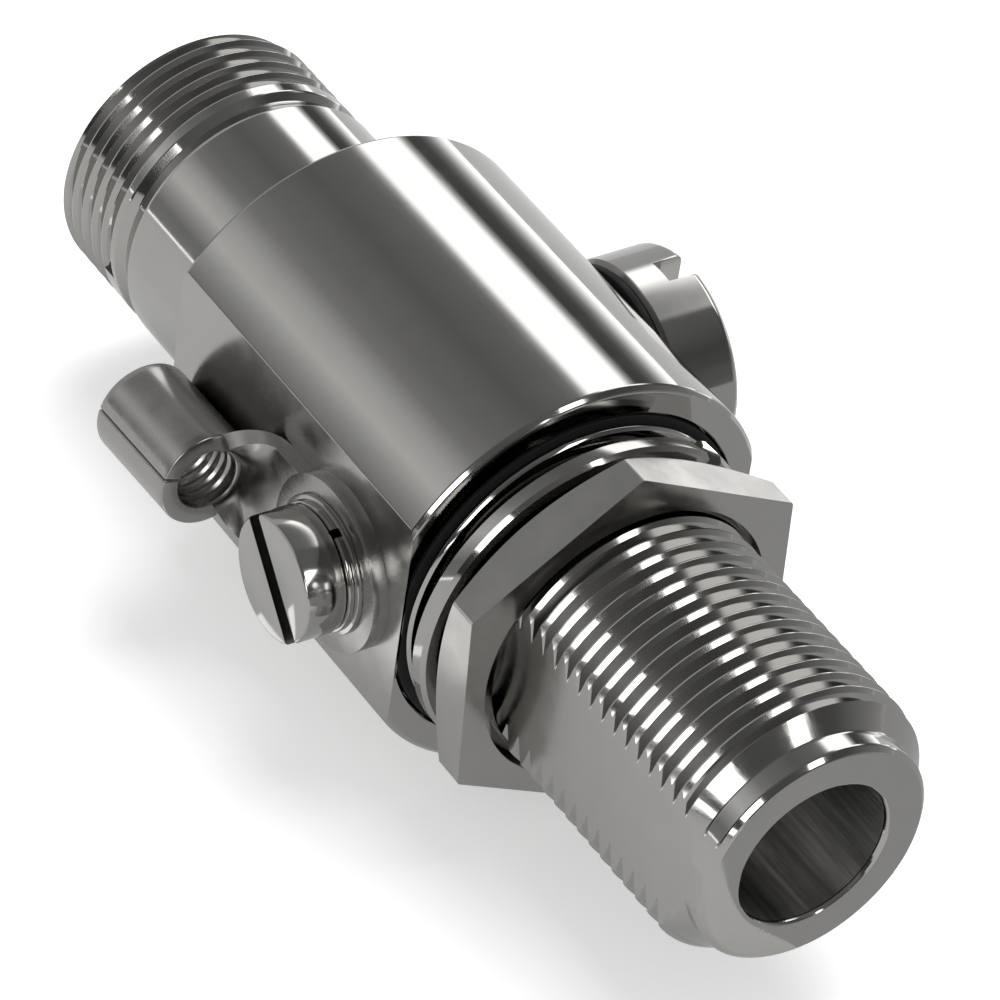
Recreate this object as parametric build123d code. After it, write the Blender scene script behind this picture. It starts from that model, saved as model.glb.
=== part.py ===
from build123d import *
import os
from math import cos, degrees, radians, sin, tan

# Coaxial lightning arrestor with a bulkhead jack, a plain jack and a replaceable gas discharge tube.
# Lengths are in millimetres and angles in degrees.
# +X runs along the main axis towards the threaded nose, and x = 0 is the face that bears on the panel.
# +Y is the side of the gas tube's cap, and -Y is the side of the ground screw.

# Clearances
thread_gap = 0.045      # radial, between a thread and the thread it runs in
seat_gap = 0.02         # around a part that is pressed or slid into its seat
loose_gap = 0.15        # radial, between a washer and the thread it goes over
cutter_room = 0.5       # how far a milling cutter stands past what it cuts

# Barrel
barrel_r = 11.8
barrel_length = 22.8
barrel_near_edge = 0.15
barrel_far_edge = 0.3
ground_flat = 9.89      # from the main axis to the flat that carries the ground screw
cap_flat = 10.8         # from the main axis to the flat that carries the cap
flat_edge = 0.3

# Threaded nose, from the panel face to the front of the near jack
jack_thread_r = 7.9375
nose_length = 22.53
nose_lip_r = 6.53
nose_lip_length = 0.5
nose_lip_edge = 0.12
nose_groove_r = 6.3
nose_groove_length = 0.2
nose_taper_r = 6.67
nose_taper_length = 0.8
nose_shoulder_r = 7.2
nose_shoulder_length = 0.98
nose_chamfer_length = 0.67
nose_flat = 6.76        # from the main axis to the flat that keys the nose in a D-shaped panel hole

# Jack interface, the same at both ends
jack_mouth_r = 4.57
jack_mouth_length = 0.3
jack_bore_r = 4.27
jack_depth = 9.1        # from the jack's front to its reference plane
contact_reach = 5.0     # from the reference plane to the contact's tip

# Coaxial line
line_bore_r = 4.6
line_lip_r = 3.5
line_lip_length = 0.5
insulator_length = 3.0
conductor_r = 2.0
conductor_flat = 1.5    # from the main axis to the flat that the gas tube stands on

# Socket contacts
contact_r = 1.52
contact_hole_r = 0.81
contact_hole_depth = 5.6
contact_countersink = 0.2
contact_slot_width = 0.3
contact_slot_length = 4.6
contact_slots = 2       # each one cuts both walls
contact_stud_r = 0.8
contact_stud_length = 3.0
contact_stud_room = 0.3

# Rear jack shell
rear_length = 16.0
spigot_r = 7.0
spigot_length = 5.0
rear_neck_r = 7.98
rear_neck_length = 8.27
rear_relief_r = 7.48        # bottom of the V-shaped relief between the thread and the neck
rear_relief_rise = 1.03     # length of its side towards the neck
rear_relief_fall = 0.78     # length of its side towards the thread
rear_chamfer_r = 7.0
rear_chamfer_length = 0.6

# Panel seal, washers and nut
seal_recess_width = 2.2625  # from the thread to the recess's wall
seal_recess_depth = 0.95
seal_side_gap = 0.1
seal_proud = 0.04
flat_washer_band = 1.5125
flat_washer_thickness = 0.35
lock_washer_band = 1.8
lock_washer_thickness = 1.15
lock_washer_rise = 1.0      # how far the free washer's ends stand apart
lock_washer_split = 0.8     # width of the split, square to its cut faces
lock_washer_lean = 45.0     # slant of the cut faces
lock_washer_turn = 50.0     # where the split lies, from +Y towards +Z
nut_wall = 1.5875           # from the thread to the flats
nut_corner_loss = 0.05      # what is turned off each corner
nut_bearing_step = 0.725    # from the flats in to the rim of the bearing face
nut_thickness = 3.0
nut_chamfer_angle = 30.0
nut_countersink = 0.35
nut_turn = 33.3             # where a corner lies, from +Y towards +Z

# Gas tube and its cap
gas_tube_setback = 9.86     # from the barrel's far face to the tube's axis
gas_tube_r = 4.0
gas_tube_length = 6.0
electrode_rim = 1.0
electrode_stub_r = 1.8
spark_gap = 0.7
ceramic_wall = 1.3
chamber_gap = 0.5           # radial, between the tube and its chamber
cap_thread_r = 5.0
cap_thread_length = 3.2
cap_thread_room = 0.2
cap_recess_r = 4.2
cap_recess_depth = 2.8
cap_r = 6.05
cap_height = 4.05
cap_edge = 0.45
cap_base_edge = 0.3
cap_slot_width = 1.6
cap_slot_depth = 1.94
cap_slot_turn = 90.0        # across the main axis
cap_seal_r = 5.9
cap_seal_thickness = 0.45
spring_r = 3.4              # to the wire's outside
spring_wire_r = 0.3
spring_turns = 3.25

# Ground screw, its washers and the ring terminal
screw_x = -5.95
screw_thread_r = 2.0
screw_thread_length = 5.1
screw_tip_edge = 0.35
screw_hole_depth = 4.4
screw_head_r = 3.42
screw_head_height = 2.39
screw_head_edge = 0.4
screw_slot_width = 1.1
screw_slot_depth = 1.1
screw_slot_turn = -47.0     # from +X towards +Z
screw_flat_washer_r = 3.75
screw_flat_washer_thickness = 0.32
screw_lock_washer_r = 3.5
screw_lock_washer_thickness = 0.35
screw_lock_washer_split = 0.5
screw_lock_washer_turn = 68.0   # where the split lies, from +X towards +Z
lug_ring_r = 4.75
lug_hole_r = 2.15
lug_sheet = 0.9
lug_swing = 2.5             # how far the terminal is turned from pointing along -X
lug_neck_width = 7.3        # of the strip before it is curled
lug_neck_flat = 5.2         # from the eye's centre to where the strip starts to curl
lug_neck_fillet = 2.5
lug_barrel_r = 2.75
lug_barrel_wall = 1.05
lug_barrel_start = 8.5
lug_barrel_end = 15.25
lug_seam_width = 0.12
lug_seam_turn = 17.0        # from the barrel's outermost line towards +Z
lug_curl_steps = 5          # sections along the curl
lug_first_curl = 0.05       # keeps the first section's bend from being none at all

# Places along the main axis, worked out from the sizes above
thread_end = (
    nose_length - nose_lip_length - nose_groove_length
    - nose_taper_length - nose_shoulder_length - nose_chamfer_length
)
rear_end = -barrel_length - rear_length
front_reference = nose_length - jack_depth
rear_reference = rear_end + jack_depth
front_lip = front_reference - line_lip_length
rear_lip = rear_reference + line_lip_length
spigot_end = spigot_length - barrel_length
conductor_front = front_lip - insulator_length
conductor_rear = rear_lip + insulator_length
rear_thread_start = -barrel_length - rear_neck_length - rear_relief_rise - rear_relief_fall
flat_washer_back = seal_proud + seat_gap
flat_washer_front = flat_washer_back + flat_washer_thickness
lock_washer_back = flat_washer_front + seat_gap
nut_back = lock_washer_back + lock_washer_thickness + lock_washer_rise + seat_gap

# Sizes of what goes over the nose
seal_recess_r = jack_thread_r + seal_recess_width
flat_washer_r = jack_thread_r + loose_gap + flat_washer_band
lock_washer_r = jack_thread_r + loose_gap + lock_washer_band
nut_across_flats = 2 * (jack_thread_r + nut_wall)
nut_corner_r = nut_across_flats / 2 / cos(radians(30)) - nut_corner_loss
nut_bearing_r = nut_across_flats / 2 - nut_bearing_step

# Places along the side axes
gas_tube_x = gas_tube_setback - barrel_length
gas_tube_top = conductor_flat + gas_tube_length
cap_spigot_bottom = cap_flat - cap_thread_length
cap_underside = cap_flat + cap_seal_thickness
cap_recess_floor = cap_spigot_bottom + cap_recess_depth
lug_outside = ground_flat + lug_sheet
screw_flat_washer_outside = lug_outside + screw_flat_washer_thickness
screw_head_base = screw_flat_washer_outside + screw_lock_washer_thickness

# The frames that the turned parts are made in: each one's own Z is its axis
main_axis = Plane(origin=(0, 0, 0), x_dir=(0, 1, 0), z_dir=(1, 0, 0))
cap_axis = Plane(origin=(gas_tube_x, 0, 0), x_dir=(1, 0, 0), z_dir=(0, 1, 0))
screw_axis = Plane(origin=(screw_x, 0, 0), x_dir=(1, 0, 0), z_dir=(0, -1, 0))
lug_frame = Plane(
    origin=(screw_x, -ground_flat, 0),
    x_dir=(-cos(radians(lug_swing)), 0, -sin(radians(lug_swing))),
    z_dir=(0, -1, 0),
)


def turned(frame, profile):
    """A solid turned about the frame's Z, from (radius, height) points."""
    face = make_face(Polyline(*profile, close=True))
    return frame.location * revolve(Plane.XZ * face, Axis.Z)


def ring(frame, inner_r, outer_r, low, high):
    """A plain ring or, with no inner radius, a plain cylinder."""
    return turned(frame, [(inner_r, low), (outer_r, low), (outer_r, high), (inner_r, high)])


def slot_cutter(frame, turn, radius, width, low, high):
    """A block right across a round part, turned about the frame's axis."""
    length = 2 * (radius + cutter_room)
    block = Box(length, width, high - low, align=(Align.CENTER, Align.CENTER, Align.MIN))
    return frame.location * (Pos(0, 0, low) * Rot(0, 0, turn) * block)


def jack_bore(front, back):
    """The hollow of a jack about the main axis: mouth, bore, lip and the start of the line bore."""
    way = 1 if front > back else -1
    reference = front - way * jack_depth
    lip = reference - way * line_lip_length
    return turned(main_axis, [
        (0, front + way * jack_mouth_length),
        (jack_mouth_r, front + way * jack_mouth_length),
        (jack_mouth_r, front),
        (jack_bore_r, front - way * jack_mouth_length),
        (jack_bore_r, reference),
        (line_lip_r, reference),
        (line_lip_r, lip),
        (line_bore_r, lip),
        (line_bore_r, back),
        (0, back),
    ])


def nose_profile():
    """The nose's outline from the panel face to its front, as (radius, x) points."""
    lip_back = nose_length - nose_lip_length
    groove_back = lip_back - nose_groove_length
    taper_back = groove_back - nose_taper_length
    shoulder_back = taper_back - nose_shoulder_length
    return [
        (jack_thread_r, thread_end),
        (nose_shoulder_r, shoulder_back),
        (nose_taper_r, taper_back),
        (nose_groove_r, groove_back),
        (nose_groove_r, lip_back),
        (nose_lip_r, lip_back),
        (nose_lip_r, nose_length - nose_lip_edge),
        (nose_lip_r - nose_lip_edge, nose_length),
    ]


def flat_cutter(side, distance):
    """What is milled off one side of the barrel, with a bevel along the flat's near end."""
    outline = make_face(Polyline(
        (-barrel_length, distance),
        (-flat_edge, distance),
        (0, distance - flat_edge),
        (0, barrel_r),
        (-barrel_length, barrel_r),
        close=True,
    ))
    cutter = extrude(outline, amount=barrel_r, both=True)
    return cutter if side > 0 else mirror(cutter, Plane.XZ)


def main_body():
    """Barrel and nose, turned from one bar, then milled and drilled."""
    outline = [
        (0, -barrel_length),
        (barrel_r - barrel_far_edge, -barrel_length),
        (barrel_r, barrel_far_edge - barrel_length),
        (barrel_r, -barrel_near_edge),
        (barrel_r - barrel_near_edge, 0),
        (seal_recess_r, 0),
        (seal_recess_r, -seal_recess_depth),
        (jack_thread_r, -seal_recess_depth),
    ]
    body = turned(main_axis, outline + nose_profile() + [(0, nose_length)])
    body -= flat_cutter(1, cap_flat)
    body -= flat_cutter(-1, ground_flat)
    key = Box(nose_length, jack_thread_r, 2 * jack_thread_r, align=(Align.MIN, Align.MAX, Align.CENTER))
    body -= Pos(0, -nose_flat, 0) * key
    body -= jack_bore(nose_length, -barrel_length)
    body -= ring(main_axis, 0, spigot_r + seat_gap, -barrel_length, spigot_end)
    chamber_r = gas_tube_r + chamber_gap
    thread_bottom = cap_spigot_bottom - cap_thread_room
    body -= ring(cap_axis, 0, chamber_r, 0, thread_bottom)
    body -= ring(cap_axis, 0, cap_thread_r + thread_gap, thread_bottom, barrel_r)
    body -= ring(screw_axis, 0, screw_thread_r + thread_gap, ground_flat - screw_hole_depth, barrel_r)
    return body


def rear_jack_shell():
    """The far jack, with the spigot that is pressed into the barrel."""
    neck_end = -barrel_length - rear_neck_length
    relief_bottom = neck_end - rear_relief_rise
    shell = turned(main_axis, [
        (0, rear_end),
        (rear_chamfer_r, rear_end),
        (jack_thread_r, rear_end + rear_chamfer_length),
        (jack_thread_r, rear_thread_start),
        (rear_relief_r, relief_bottom),
        (rear_neck_r, neck_end),
        (rear_neck_r, -barrel_length),
        (spigot_r, -barrel_length),
        (spigot_r, spigot_end),
        (0, spigot_end),
    ])
    return shell - jack_bore(rear_end, spigot_end)


def line_conductor():
    """The inner conductor between the beads, with a flat for the gas tube and a tapped hole in each end."""
    hole_r = contact_stud_r + seat_gap
    hole_depth = contact_stud_length + contact_stud_room
    rod = ring(main_axis, 0, conductor_r, conductor_rear, conductor_front)
    rod -= ring(main_axis, 0, hole_r, conductor_front - hole_depth, conductor_front)
    rod -= ring(main_axis, 0, hole_r, conductor_rear, conductor_rear + hole_depth)
    flat_length = 2 * (gas_tube_r + chamber_gap)
    milled = Box(flat_length, conductor_r, 2 * conductor_r, align=(Align.CENTER, Align.MIN, Align.CENTER))
    return rod - Pos(gas_tube_x, conductor_flat, 0) * milled


def socket_contact(tip, shoulder):
    """A slotted socket that stands on the conductor's end, with a stud in the conductor's hole."""
    way = 1 if tip > shoulder else -1
    contact = turned(main_axis, [
        (0, shoulder - way * contact_stud_length),
        (contact_stud_r, shoulder - way * contact_stud_length),
        (contact_stud_r, shoulder),
        (contact_r, shoulder),
        (contact_r, tip - way * contact_countersink),
        (contact_r - contact_countersink, tip),
        (contact_hole_r + contact_countersink, tip),
        (contact_hole_r, tip - way * contact_countersink),
        (contact_hole_r, tip - way * contact_hole_depth),
        (0, tip - way * contact_hole_depth),
    ])
    slot_end = tip - way * contact_slot_length
    for number in range(contact_slots):
        turn = 180 * number / contact_slots
        low, high = sorted((tip, slot_end))
        contact -= slot_cutter(main_axis, turn, contact_r, contact_slot_width, low, high)
    return contact


def insulator(low):
    """A bead around a contact, held between the bore's lip and the conductor's end."""
    return ring(main_axis, contact_r + seat_gap, line_bore_r - seat_gap, low, low + insulator_length)


def panel_seal():
    """Rubber ring that fills the recess in the panel face."""
    inner_r = jack_thread_r + seal_side_gap
    outer_r = seal_recess_r - seal_side_gap
    return ring(main_axis, inner_r, outer_r, -seal_recess_depth, seal_proud)


def panel_flat_washer():
    return ring(main_axis, jack_thread_r + loose_gap, flat_washer_r, flat_washer_back, flat_washer_front)


def panel_lock_washer():
    """A sprung split washer: a square-edged band wound as most of one turn, with its ends cut aslant."""
    mean_r = lock_washer_r - lock_washer_band / 2
    lean = radians(lock_washer_lean)
    split_run = lock_washer_split / cos(lean) + lock_washer_rise * tan(lean)
    split_angle = degrees(split_run / mean_r)
    turns = 1 - split_angle / 360
    path = Helix(pitch=lock_washer_rise / turns, height=lock_washer_rise, radius=mean_r, lefthand=True)
    end_face = Plane(origin=path @ 0, x_dir=(1, 0, 0), z_dir=(0, -cos(lean), sin(lean)))
    section = end_face * Rectangle(lock_washer_band, lock_washer_thickness / cos(lean))
    band = sweep(section, path, is_frenet=True)
    lift = lock_washer_back + lock_washer_thickness / 2
    return main_axis.location * (Pos(0, 0, lift) * Rot(0, 0, lock_washer_turn - split_angle / 2) * band)


def panel_nut():
    """Hexagon nut, its corners turned and its bearing side chamfered."""
    corner_rise = (nut_corner_r - nut_bearing_r) * tan(radians(nut_chamfer_angle))
    blank = turned(main_axis, [
        (0, nut_back),
        (nut_bearing_r, nut_back),
        (nut_corner_r, nut_back + corner_rise),
        (nut_corner_r, nut_back + nut_thickness),
        (0, nut_back + nut_thickness),
    ])
    hexagon = RegularPolygon(nut_across_flats / 2, 6, major_radius=False, rotation=nut_turn)
    prism = extrude(main_axis * hexagon, amount=nut_back + nut_thickness)
    hole_r = jack_thread_r + thread_gap
    mouth_r = hole_r + nut_countersink
    front = nut_back + nut_thickness
    hole = turned(main_axis, [
        (0, nut_back),
        (mouth_r, nut_back),
        (hole_r, nut_back + nut_countersink),
        (hole_r, front - nut_countersink),
        (mouth_r, front),
        (0, front),
    ])
    return (blank & prism) - hole


def gas_tube_electrode(base, way):
    """One end of the gas tube: a disc on the ceramic's end with a stub that reaches into the tube."""
    stub_length = (gas_tube_length - spark_gap) / 2
    return turned(cap_axis, [
        (0, base),
        (gas_tube_r, base),
        (gas_tube_r, base + way * electrode_rim),
        (electrode_stub_r, base + way * electrode_rim),
        (electrode_stub_r, base + way * stub_length),
        (0, base + way * stub_length),
    ])


def gas_tube_ceramic():
    low = conductor_flat + electrode_rim
    high = gas_tube_top - electrode_rim
    return ring(cap_axis, gas_tube_r - ceramic_wall, gas_tube_r, low, high)


def gas_tube_spring():
    """Compression spring between the gas tube and the cap."""
    coil_r = spring_r - spring_wire_r
    low = gas_tube_top + spring_wire_r + seat_gap
    height = cap_recess_floor - spring_wire_r - seat_gap - low
    path = Helix(pitch=height / spring_turns, height=height, radius=coil_r)
    section = Plane(origin=path @ 0, z_dir=path % 0) * Circle(spring_wire_r)
    return cap_axis.location * (Pos(0, 0, low) * sweep(section, path, is_frenet=True))


def gas_tube_cap():
    """Slotted cap with a threaded spigot, hollow for the tube's spring."""
    top = cap_underside + cap_height
    cap = turned(cap_axis, [
        (0, cap_recess_floor),
        (cap_recess_r, cap_recess_floor),
        (cap_recess_r, cap_spigot_bottom),
        (cap_thread_r, cap_spigot_bottom),
        (cap_thread_r, cap_underside),
        (cap_r - cap_base_edge, cap_underside),
        (cap_r, cap_underside + cap_base_edge),
        (cap_r, top),
        (0, top),
    ])
    rim = cap.edges().filter_by(GeomType.CIRCLE).sort_by(Axis.Y)[-1]
    cap = fillet(rim, cap_edge)
    return cap - slot_cutter(cap_axis, cap_slot_turn, cap_r, cap_slot_width, top - cap_slot_depth, top)


def cap_seal_ring():
    return ring(cap_axis, cap_thread_r + seat_gap, cap_seal_r, cap_flat, cap_underside)


def ground_screw():
    """Slotted cheese head screw."""
    face = screw_head_base + screw_head_height
    tip = screw_head_base - screw_thread_length
    screw = turned(screw_axis, [
        (0, tip),
        (screw_thread_r - screw_tip_edge, tip),
        (screw_thread_r, tip + screw_tip_edge),
        (screw_thread_r, screw_head_base),
        (screw_head_r, screw_head_base),
        (screw_head_r, face),
        (0, face),
    ])
    rim = screw.edges().filter_by(GeomType.CIRCLE).sort_by(Axis.Y)[0]
    screw = fillet(rim, screw_head_edge)
    slot_floor = face - screw_slot_depth
    return screw - slot_cutter(
        screw_axis, screw_slot_turn, screw_head_r, screw_slot_width, slot_floor, face
    )


def ground_flat_washer():
    """Thin washer on the ring terminal."""
    hole_r = screw_thread_r + loose_gap
    return ring(screw_axis, hole_r, screw_flat_washer_r, lug_outside, screw_flat_washer_outside)


def ground_lock_washer():
    """Split washer, clamped flat under the screw's head."""
    low = screw_flat_washer_outside
    high = screw_head_base
    washer = ring(screw_axis, screw_thread_r + loose_gap, screw_lock_washer_r, low, high)
    split = Box(
        screw_lock_washer_r + cutter_room,
        screw_lock_washer_split,
        screw_lock_washer_thickness + 2 * cutter_room,
        align=(Align.MIN, Align.CENTER, Align.CENTER),
    )
    middle = (low + high) / 2
    return washer - screw_axis.location * (Pos(0, 0, middle) * Rot(0, 0, screw_lock_washer_turn) * split)


def curl_section(station, outer_r, wall):
    """The neck's strip at a station along the terminal, bent round an axis above it."""
    turn = lug_neck_width / 2 / outer_r
    inner_r = outer_r - wall
    outer_end = (outer_r * sin(turn), outer_r - outer_r * cos(turn))
    inner_end = (inner_r * sin(turn), outer_r - inner_r * cos(turn))
    outer_arc = ThreePointArc((-outer_end[0], outer_end[1]), (0, 0), outer_end)
    inner_arc = ThreePointArc(inner_end, (0, wall), (-inner_end[0], inner_end[1]))
    edges = [outer_arc, Line(outer_end, inner_end), inner_arc, Line(inner_arc @ 1, outer_arc @ 0)]
    across = Plane(origin=(station, 0, 0), x_dir=(0, 1, 0), z_dir=(1, 0, 0))
    return across * make_face(Wire(edges))


def curled_neck():
    """The strip between the flat eye and the barrel: its curvature grows from none to the barrel's."""
    sections = []
    for step in range(lug_curl_steps + 1):
        share = step / lug_curl_steps
        station = lug_neck_flat + share * (lug_barrel_start - lug_neck_flat)
        curvature = max(share, lug_first_curl) ** 2 / lug_barrel_r
        wall = lug_sheet + share * (lug_barrel_wall - lug_sheet)
        sections.append(curl_section(station, 1 / curvature, wall))
    return loft(sections)


def ground_lug():
    """Ring terminal: a flat eye, a neck that curls up into an open trough, and a rolled barrel."""
    plan = Circle(lug_ring_r) + Pos(lug_neck_flat / 2, 0) * Rectangle(lug_neck_flat, lug_neck_width)
    corners = [v for v in plan.vertices() if 0 < v.X < lug_neck_flat - seat_gap]
    plan = fillet(corners, lug_neck_fillet) - Circle(lug_hole_r)
    barrel_run = lug_barrel_end - lug_barrel_start
    tube = Circle(lug_barrel_r) - Circle(lug_barrel_r - lug_barrel_wall)
    across = Plane(origin=(lug_barrel_start, 0, lug_barrel_r), x_dir=(0, 1, 0), z_dir=(1, 0, 0))
    barrel = extrude(across * tube, amount=barrel_run)
    seam_reach = lug_barrel_r + cutter_room
    seam = Box(barrel_run, lug_seam_width, seam_reach, align=(Align.MIN, Align.CENTER, Align.MIN))
    barrel -= Pos(lug_barrel_start, 0, lug_barrel_r) * Rot(lug_seam_turn, 0, 0) * seam
    terminal = extrude(plan, amount=lug_sheet) + curled_neck() + barrel
    return lug_frame.location * terminal


parts = {
    "main_body": main_body(),
    "rear_jack_shell": rear_jack_shell(),
    "line_conductor": line_conductor(),
    "front_contact": socket_contact(front_reference + contact_reach, conductor_front),
    "rear_contact": socket_contact(rear_reference - contact_reach, conductor_rear),
    "front_insulator": insulator(conductor_front),
    "rear_insulator": insulator(rear_lip),
    "gas_tube_inner_electrode": gas_tube_electrode(conductor_flat, 1),
    "gas_tube_ceramic": gas_tube_ceramic(),
    "gas_tube_outer_electrode": gas_tube_electrode(gas_tube_top, -1),
    "gas_tube_spring": gas_tube_spring(),
    "gas_tube_cap": gas_tube_cap(),
    "cap_seal_ring": cap_seal_ring(),
    "ground_screw": ground_screw(),
    "ground_flat_washer": ground_flat_washer(),
    "ground_lock_washer": ground_lock_washer(),
    "ground_lug": ground_lug(),
    "panel_nut": panel_nut(),
    "panel_lock_washer": panel_lock_washer(),
    "panel_flat_washer": panel_flat_washer(),
    "panel_seal": panel_seal(),
}

os.makedirs("parts", exist_ok=True)
for node, shape in parts.items():
    export_step(shape, f"parts/{node}.step")
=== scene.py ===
import contextlib
import math

import bpy
from mathutils import Matrix, Vector


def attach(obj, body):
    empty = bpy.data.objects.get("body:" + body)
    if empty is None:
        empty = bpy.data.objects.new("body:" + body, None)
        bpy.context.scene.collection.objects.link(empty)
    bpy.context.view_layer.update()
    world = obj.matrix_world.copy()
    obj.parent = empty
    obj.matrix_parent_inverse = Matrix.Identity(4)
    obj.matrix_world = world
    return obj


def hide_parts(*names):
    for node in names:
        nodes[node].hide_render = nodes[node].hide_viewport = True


bl_info = {
    "name": "Coax lightning arrestor",
    "version": (1, 0, 0),
    "blender": (4, 5, 0),
    "location": "View3D > Sidebar > Arrestor",
    "description": "Builds the shells, threads, washers, cap, screw and terminal of a lightning arrestor",
    "category": "Object",
}

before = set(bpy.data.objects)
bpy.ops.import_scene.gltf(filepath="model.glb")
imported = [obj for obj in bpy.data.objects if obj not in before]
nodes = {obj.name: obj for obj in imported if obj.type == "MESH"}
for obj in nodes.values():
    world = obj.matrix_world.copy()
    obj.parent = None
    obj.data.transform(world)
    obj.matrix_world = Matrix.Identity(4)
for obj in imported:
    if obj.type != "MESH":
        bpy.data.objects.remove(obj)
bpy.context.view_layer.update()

MM = 0.001
STEPS = 160            # facets round a turned piece

# Sizes in millimetres. x = 0 is the panel face, +X runs towards the threaded nose
BARREL_R = 11.8
BARREL_LENGTH = 22.8
GROUND_FLAT = 9.89
CAP_FLAT = 10.8
BARREL_REAR_EDGE = 0.3
BARREL_PANEL_EDGE = (0.28, 0.26)            # break of the edge round the panel face: radius and length
JACK_THREAD_R = 7.9375
NOSE_LENGTH = 22.53
NOSE_GROOVE_REACH = (0.4, 20.6)             # where the groove of the nose's thread starts and ends
NOSE_THREAD_END = 20.0
NOSE_LIP_START = 21.2
NOSE_LIP_R = 6.65
NOSE_LIP_EDGE = 0.3
NOSE_FLAT = 6.55
JACK_BORE_R = 4.27
JACK_MOUTH_R = 4.57
BORE_FINISH_R = 4.4                         # the bore's finish ends at this radius
JACK_DEPTH = 9.1
BEAD_STOP = (3.5, 0.5)                      # radius and length of the shoulder that stops the bead
LINE_BORE_R = 4.6
SPIGOT_R = 7.0
SPIGOT_LENGTH = 5.0
SPIGOT_ROOM = 0.02
REAR_LENGTH = 16.0
REAR_LEAD = (7.0, 0.6)                      # radius and length of the chamfer at the rear mouth
REAR_GROOVE_END = -33.4
REAR_THREAD_END = -32.52
REAR_RELIEF = (7.48, -32.1)                 # bottom of the relief behind the rear thread: radius and x
REAR_BODY = (7.98, -31.07)
SEAL_RECESS_R = 10.2
SEAL_RECESS_DEPTH = 0.95
SEAL_ROOM = 0.1
SEAL_STANDS = 0.04                          # height of the seal above the panel face
RECESS_WALL = 0.16
RECESS_WALL_HALF = 3.2
CHAMBER_R = 4.5
CHAMBER_THREAD = (5.045, 7.4)               # radius of the cap's hole, and where it starts from the axis
# outlines of the ground screw's hole and of the flat washer, as (radius, height)
SCREW_HOLE = [(0, 5.0), (1.5, 5.49), (2.045, 5.49), (2.045, 12), (0, 12)]
FLAT_WASHER = [
    (9.0, 0.06), (9.48, 0.06), (9.6, 0.17), (9.6, 0.25), (9.43, 0.41), (8.0875, 0.41), (8.0875, 0.06),
    (9.0, 0.06),
]
SPRING_BAND, SPRING_THICK, SPRING_RISE = 1.8, 1.15, 1.0
SPRING_LEAN, SPRING_TURN = 45.0, 50.0       # slant of its cut faces and place of its split, in degrees
SPRING_CORNER = 0.22
SPRING_GAP = 0.8
SPRING_BACK = 0.43
SPRING_ROOM = 0.15                          # between its hole and the nose's thread
NUT_BACK = 2.6
NUT_FRONT = 5.6
NUT_ACROSS_FLATS = 19.05
NUT_CORNER_R = 10.95
NUT_BEARING_R = 8.8
NUT_TURN = 33.3
NUT_MOUTH_GAP = 0.395                       # the hole's chamfered mouth stands this far outside the thread
NUT_THREAD_FINISH_R = 8.3                   # the thread's finish ends at this radius
GAS_TUBE_X = -12.94
SCREW_X = -5.95
CAP_UNDERSIDE = 11.25
CAP_HEAD = (6.05, 4.05, 0.45)               # radius, height and rounding
CAP_SPIGOT = (5.0, 3.2)                     # radius and length inside the barrel's flat
CAP_POCKET = (4.2, 2.8)                     # radius and depth of the spring's pocket
CAP_SLOT = (0.8, 1.94)                      # half width and depth
CAP_SEAL = (5.02, 5.9)
SCREW_FLAT_WASHER = (3.75, 10.79, 11.11)    # radius, inner face and outer face
SCREW_LOCK_WASHER = (3.5, 11.11, 11.46)
SCREW_HEAD_R = 3.42
SCREW_HEAD_BASE = 11.46
SCREW_HEAD_FACE = 13.85
SCREW_TIP = 6.36
SCREW_THREAD_R = 2.0
SCREW_WASHER_HOLE = 2.15
SCREW_SLOT = (0.55, 1.1)                    # half width and depth
SCREW_SLOT_TURN = -47.0
SCREW_SPLIT_TURN = 68.0
LUG_SWING = 2.5
LUG_SHEET = 0.9
LUG_RING_R = 4.75
LUG_HOLE_R = 2.15
LUG_NECK_WIDTH = 7.3
LUG_NECK_FLAT = 5.2
LUG_BARREL_R = 2.75
LUG_BARREL_SHEET = 1.05
LUG_BARREL_START = 8.5
LUG_BARREL_END = 15.25
LUG_SEAM_TURN, LUG_SEAM_GAP = 17.0, 0.025
LUG_RIDGES = (9.05, 9.7, 10.35, 11.0)

# The photo's camera: its place in millimetres, its turn about X, Y and Z in degrees, and its focal length
# in widths of the picture
CAMERA_PLACE = (181.0835, -145.7383, 198.2475)
CAMERA_TURN = (49.8194, -6.7723, 57.8189)
CAMERA_FOCAL = 6.024569
CAMERA_CLIP = (0.001, 20.0)                 # in metres


def axes(x_dir, y_dir, z_dir, origin=(0, 0, 0)):
    """The matrix that takes a piece made about its own Z to its place on the arrestor."""
    matrix = Matrix((x_dir, y_dir, z_dir)).transposed().to_4x4()
    matrix.translation = Vector(origin) * MM
    return matrix


swing = math.radians(LUG_SWING)
MAIN_AXIS = axes((0, 1, 0), (0, 0, 1), (1, 0, 0))
CAP_AXIS = axes((1, 0, 0), (0, 0, -1), (0, 1, 0), (GAS_TUBE_X, 0, 0))
SCREW_AXIS = axes((1, 0, 0), (0, 0, 1), (0, -1, 0), (SCREW_X, 0, 0))
LUG_PLACE = axes(
    (-math.cos(swing), 0, -math.sin(swing)),
    (math.sin(swing), 0, -math.cos(swing)),
    (0, -1, 0),
    (SCREW_X, -GROUND_FLAT, 0),
)


# Settings a user would change


def srgb(hex_colour):
    """Linear colour of an sRGB hex value."""
    value = hex_colour.lstrip("#")
    parts = [int(value[i:i + 2], 16) / 255 for i in (0, 2, 4)]
    return tuple(c / 12.92 if c <= 0.04045 else ((c + 0.055) / 1.055) ** 2.4 for c in parts) + (1.0,)


def length_setting(name, description, default, low, high):
    return bpy.props.FloatProperty(
        name=name, description=description, default=default, unit="LENGTH", precision=6, min=low, max=high,
    )


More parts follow.
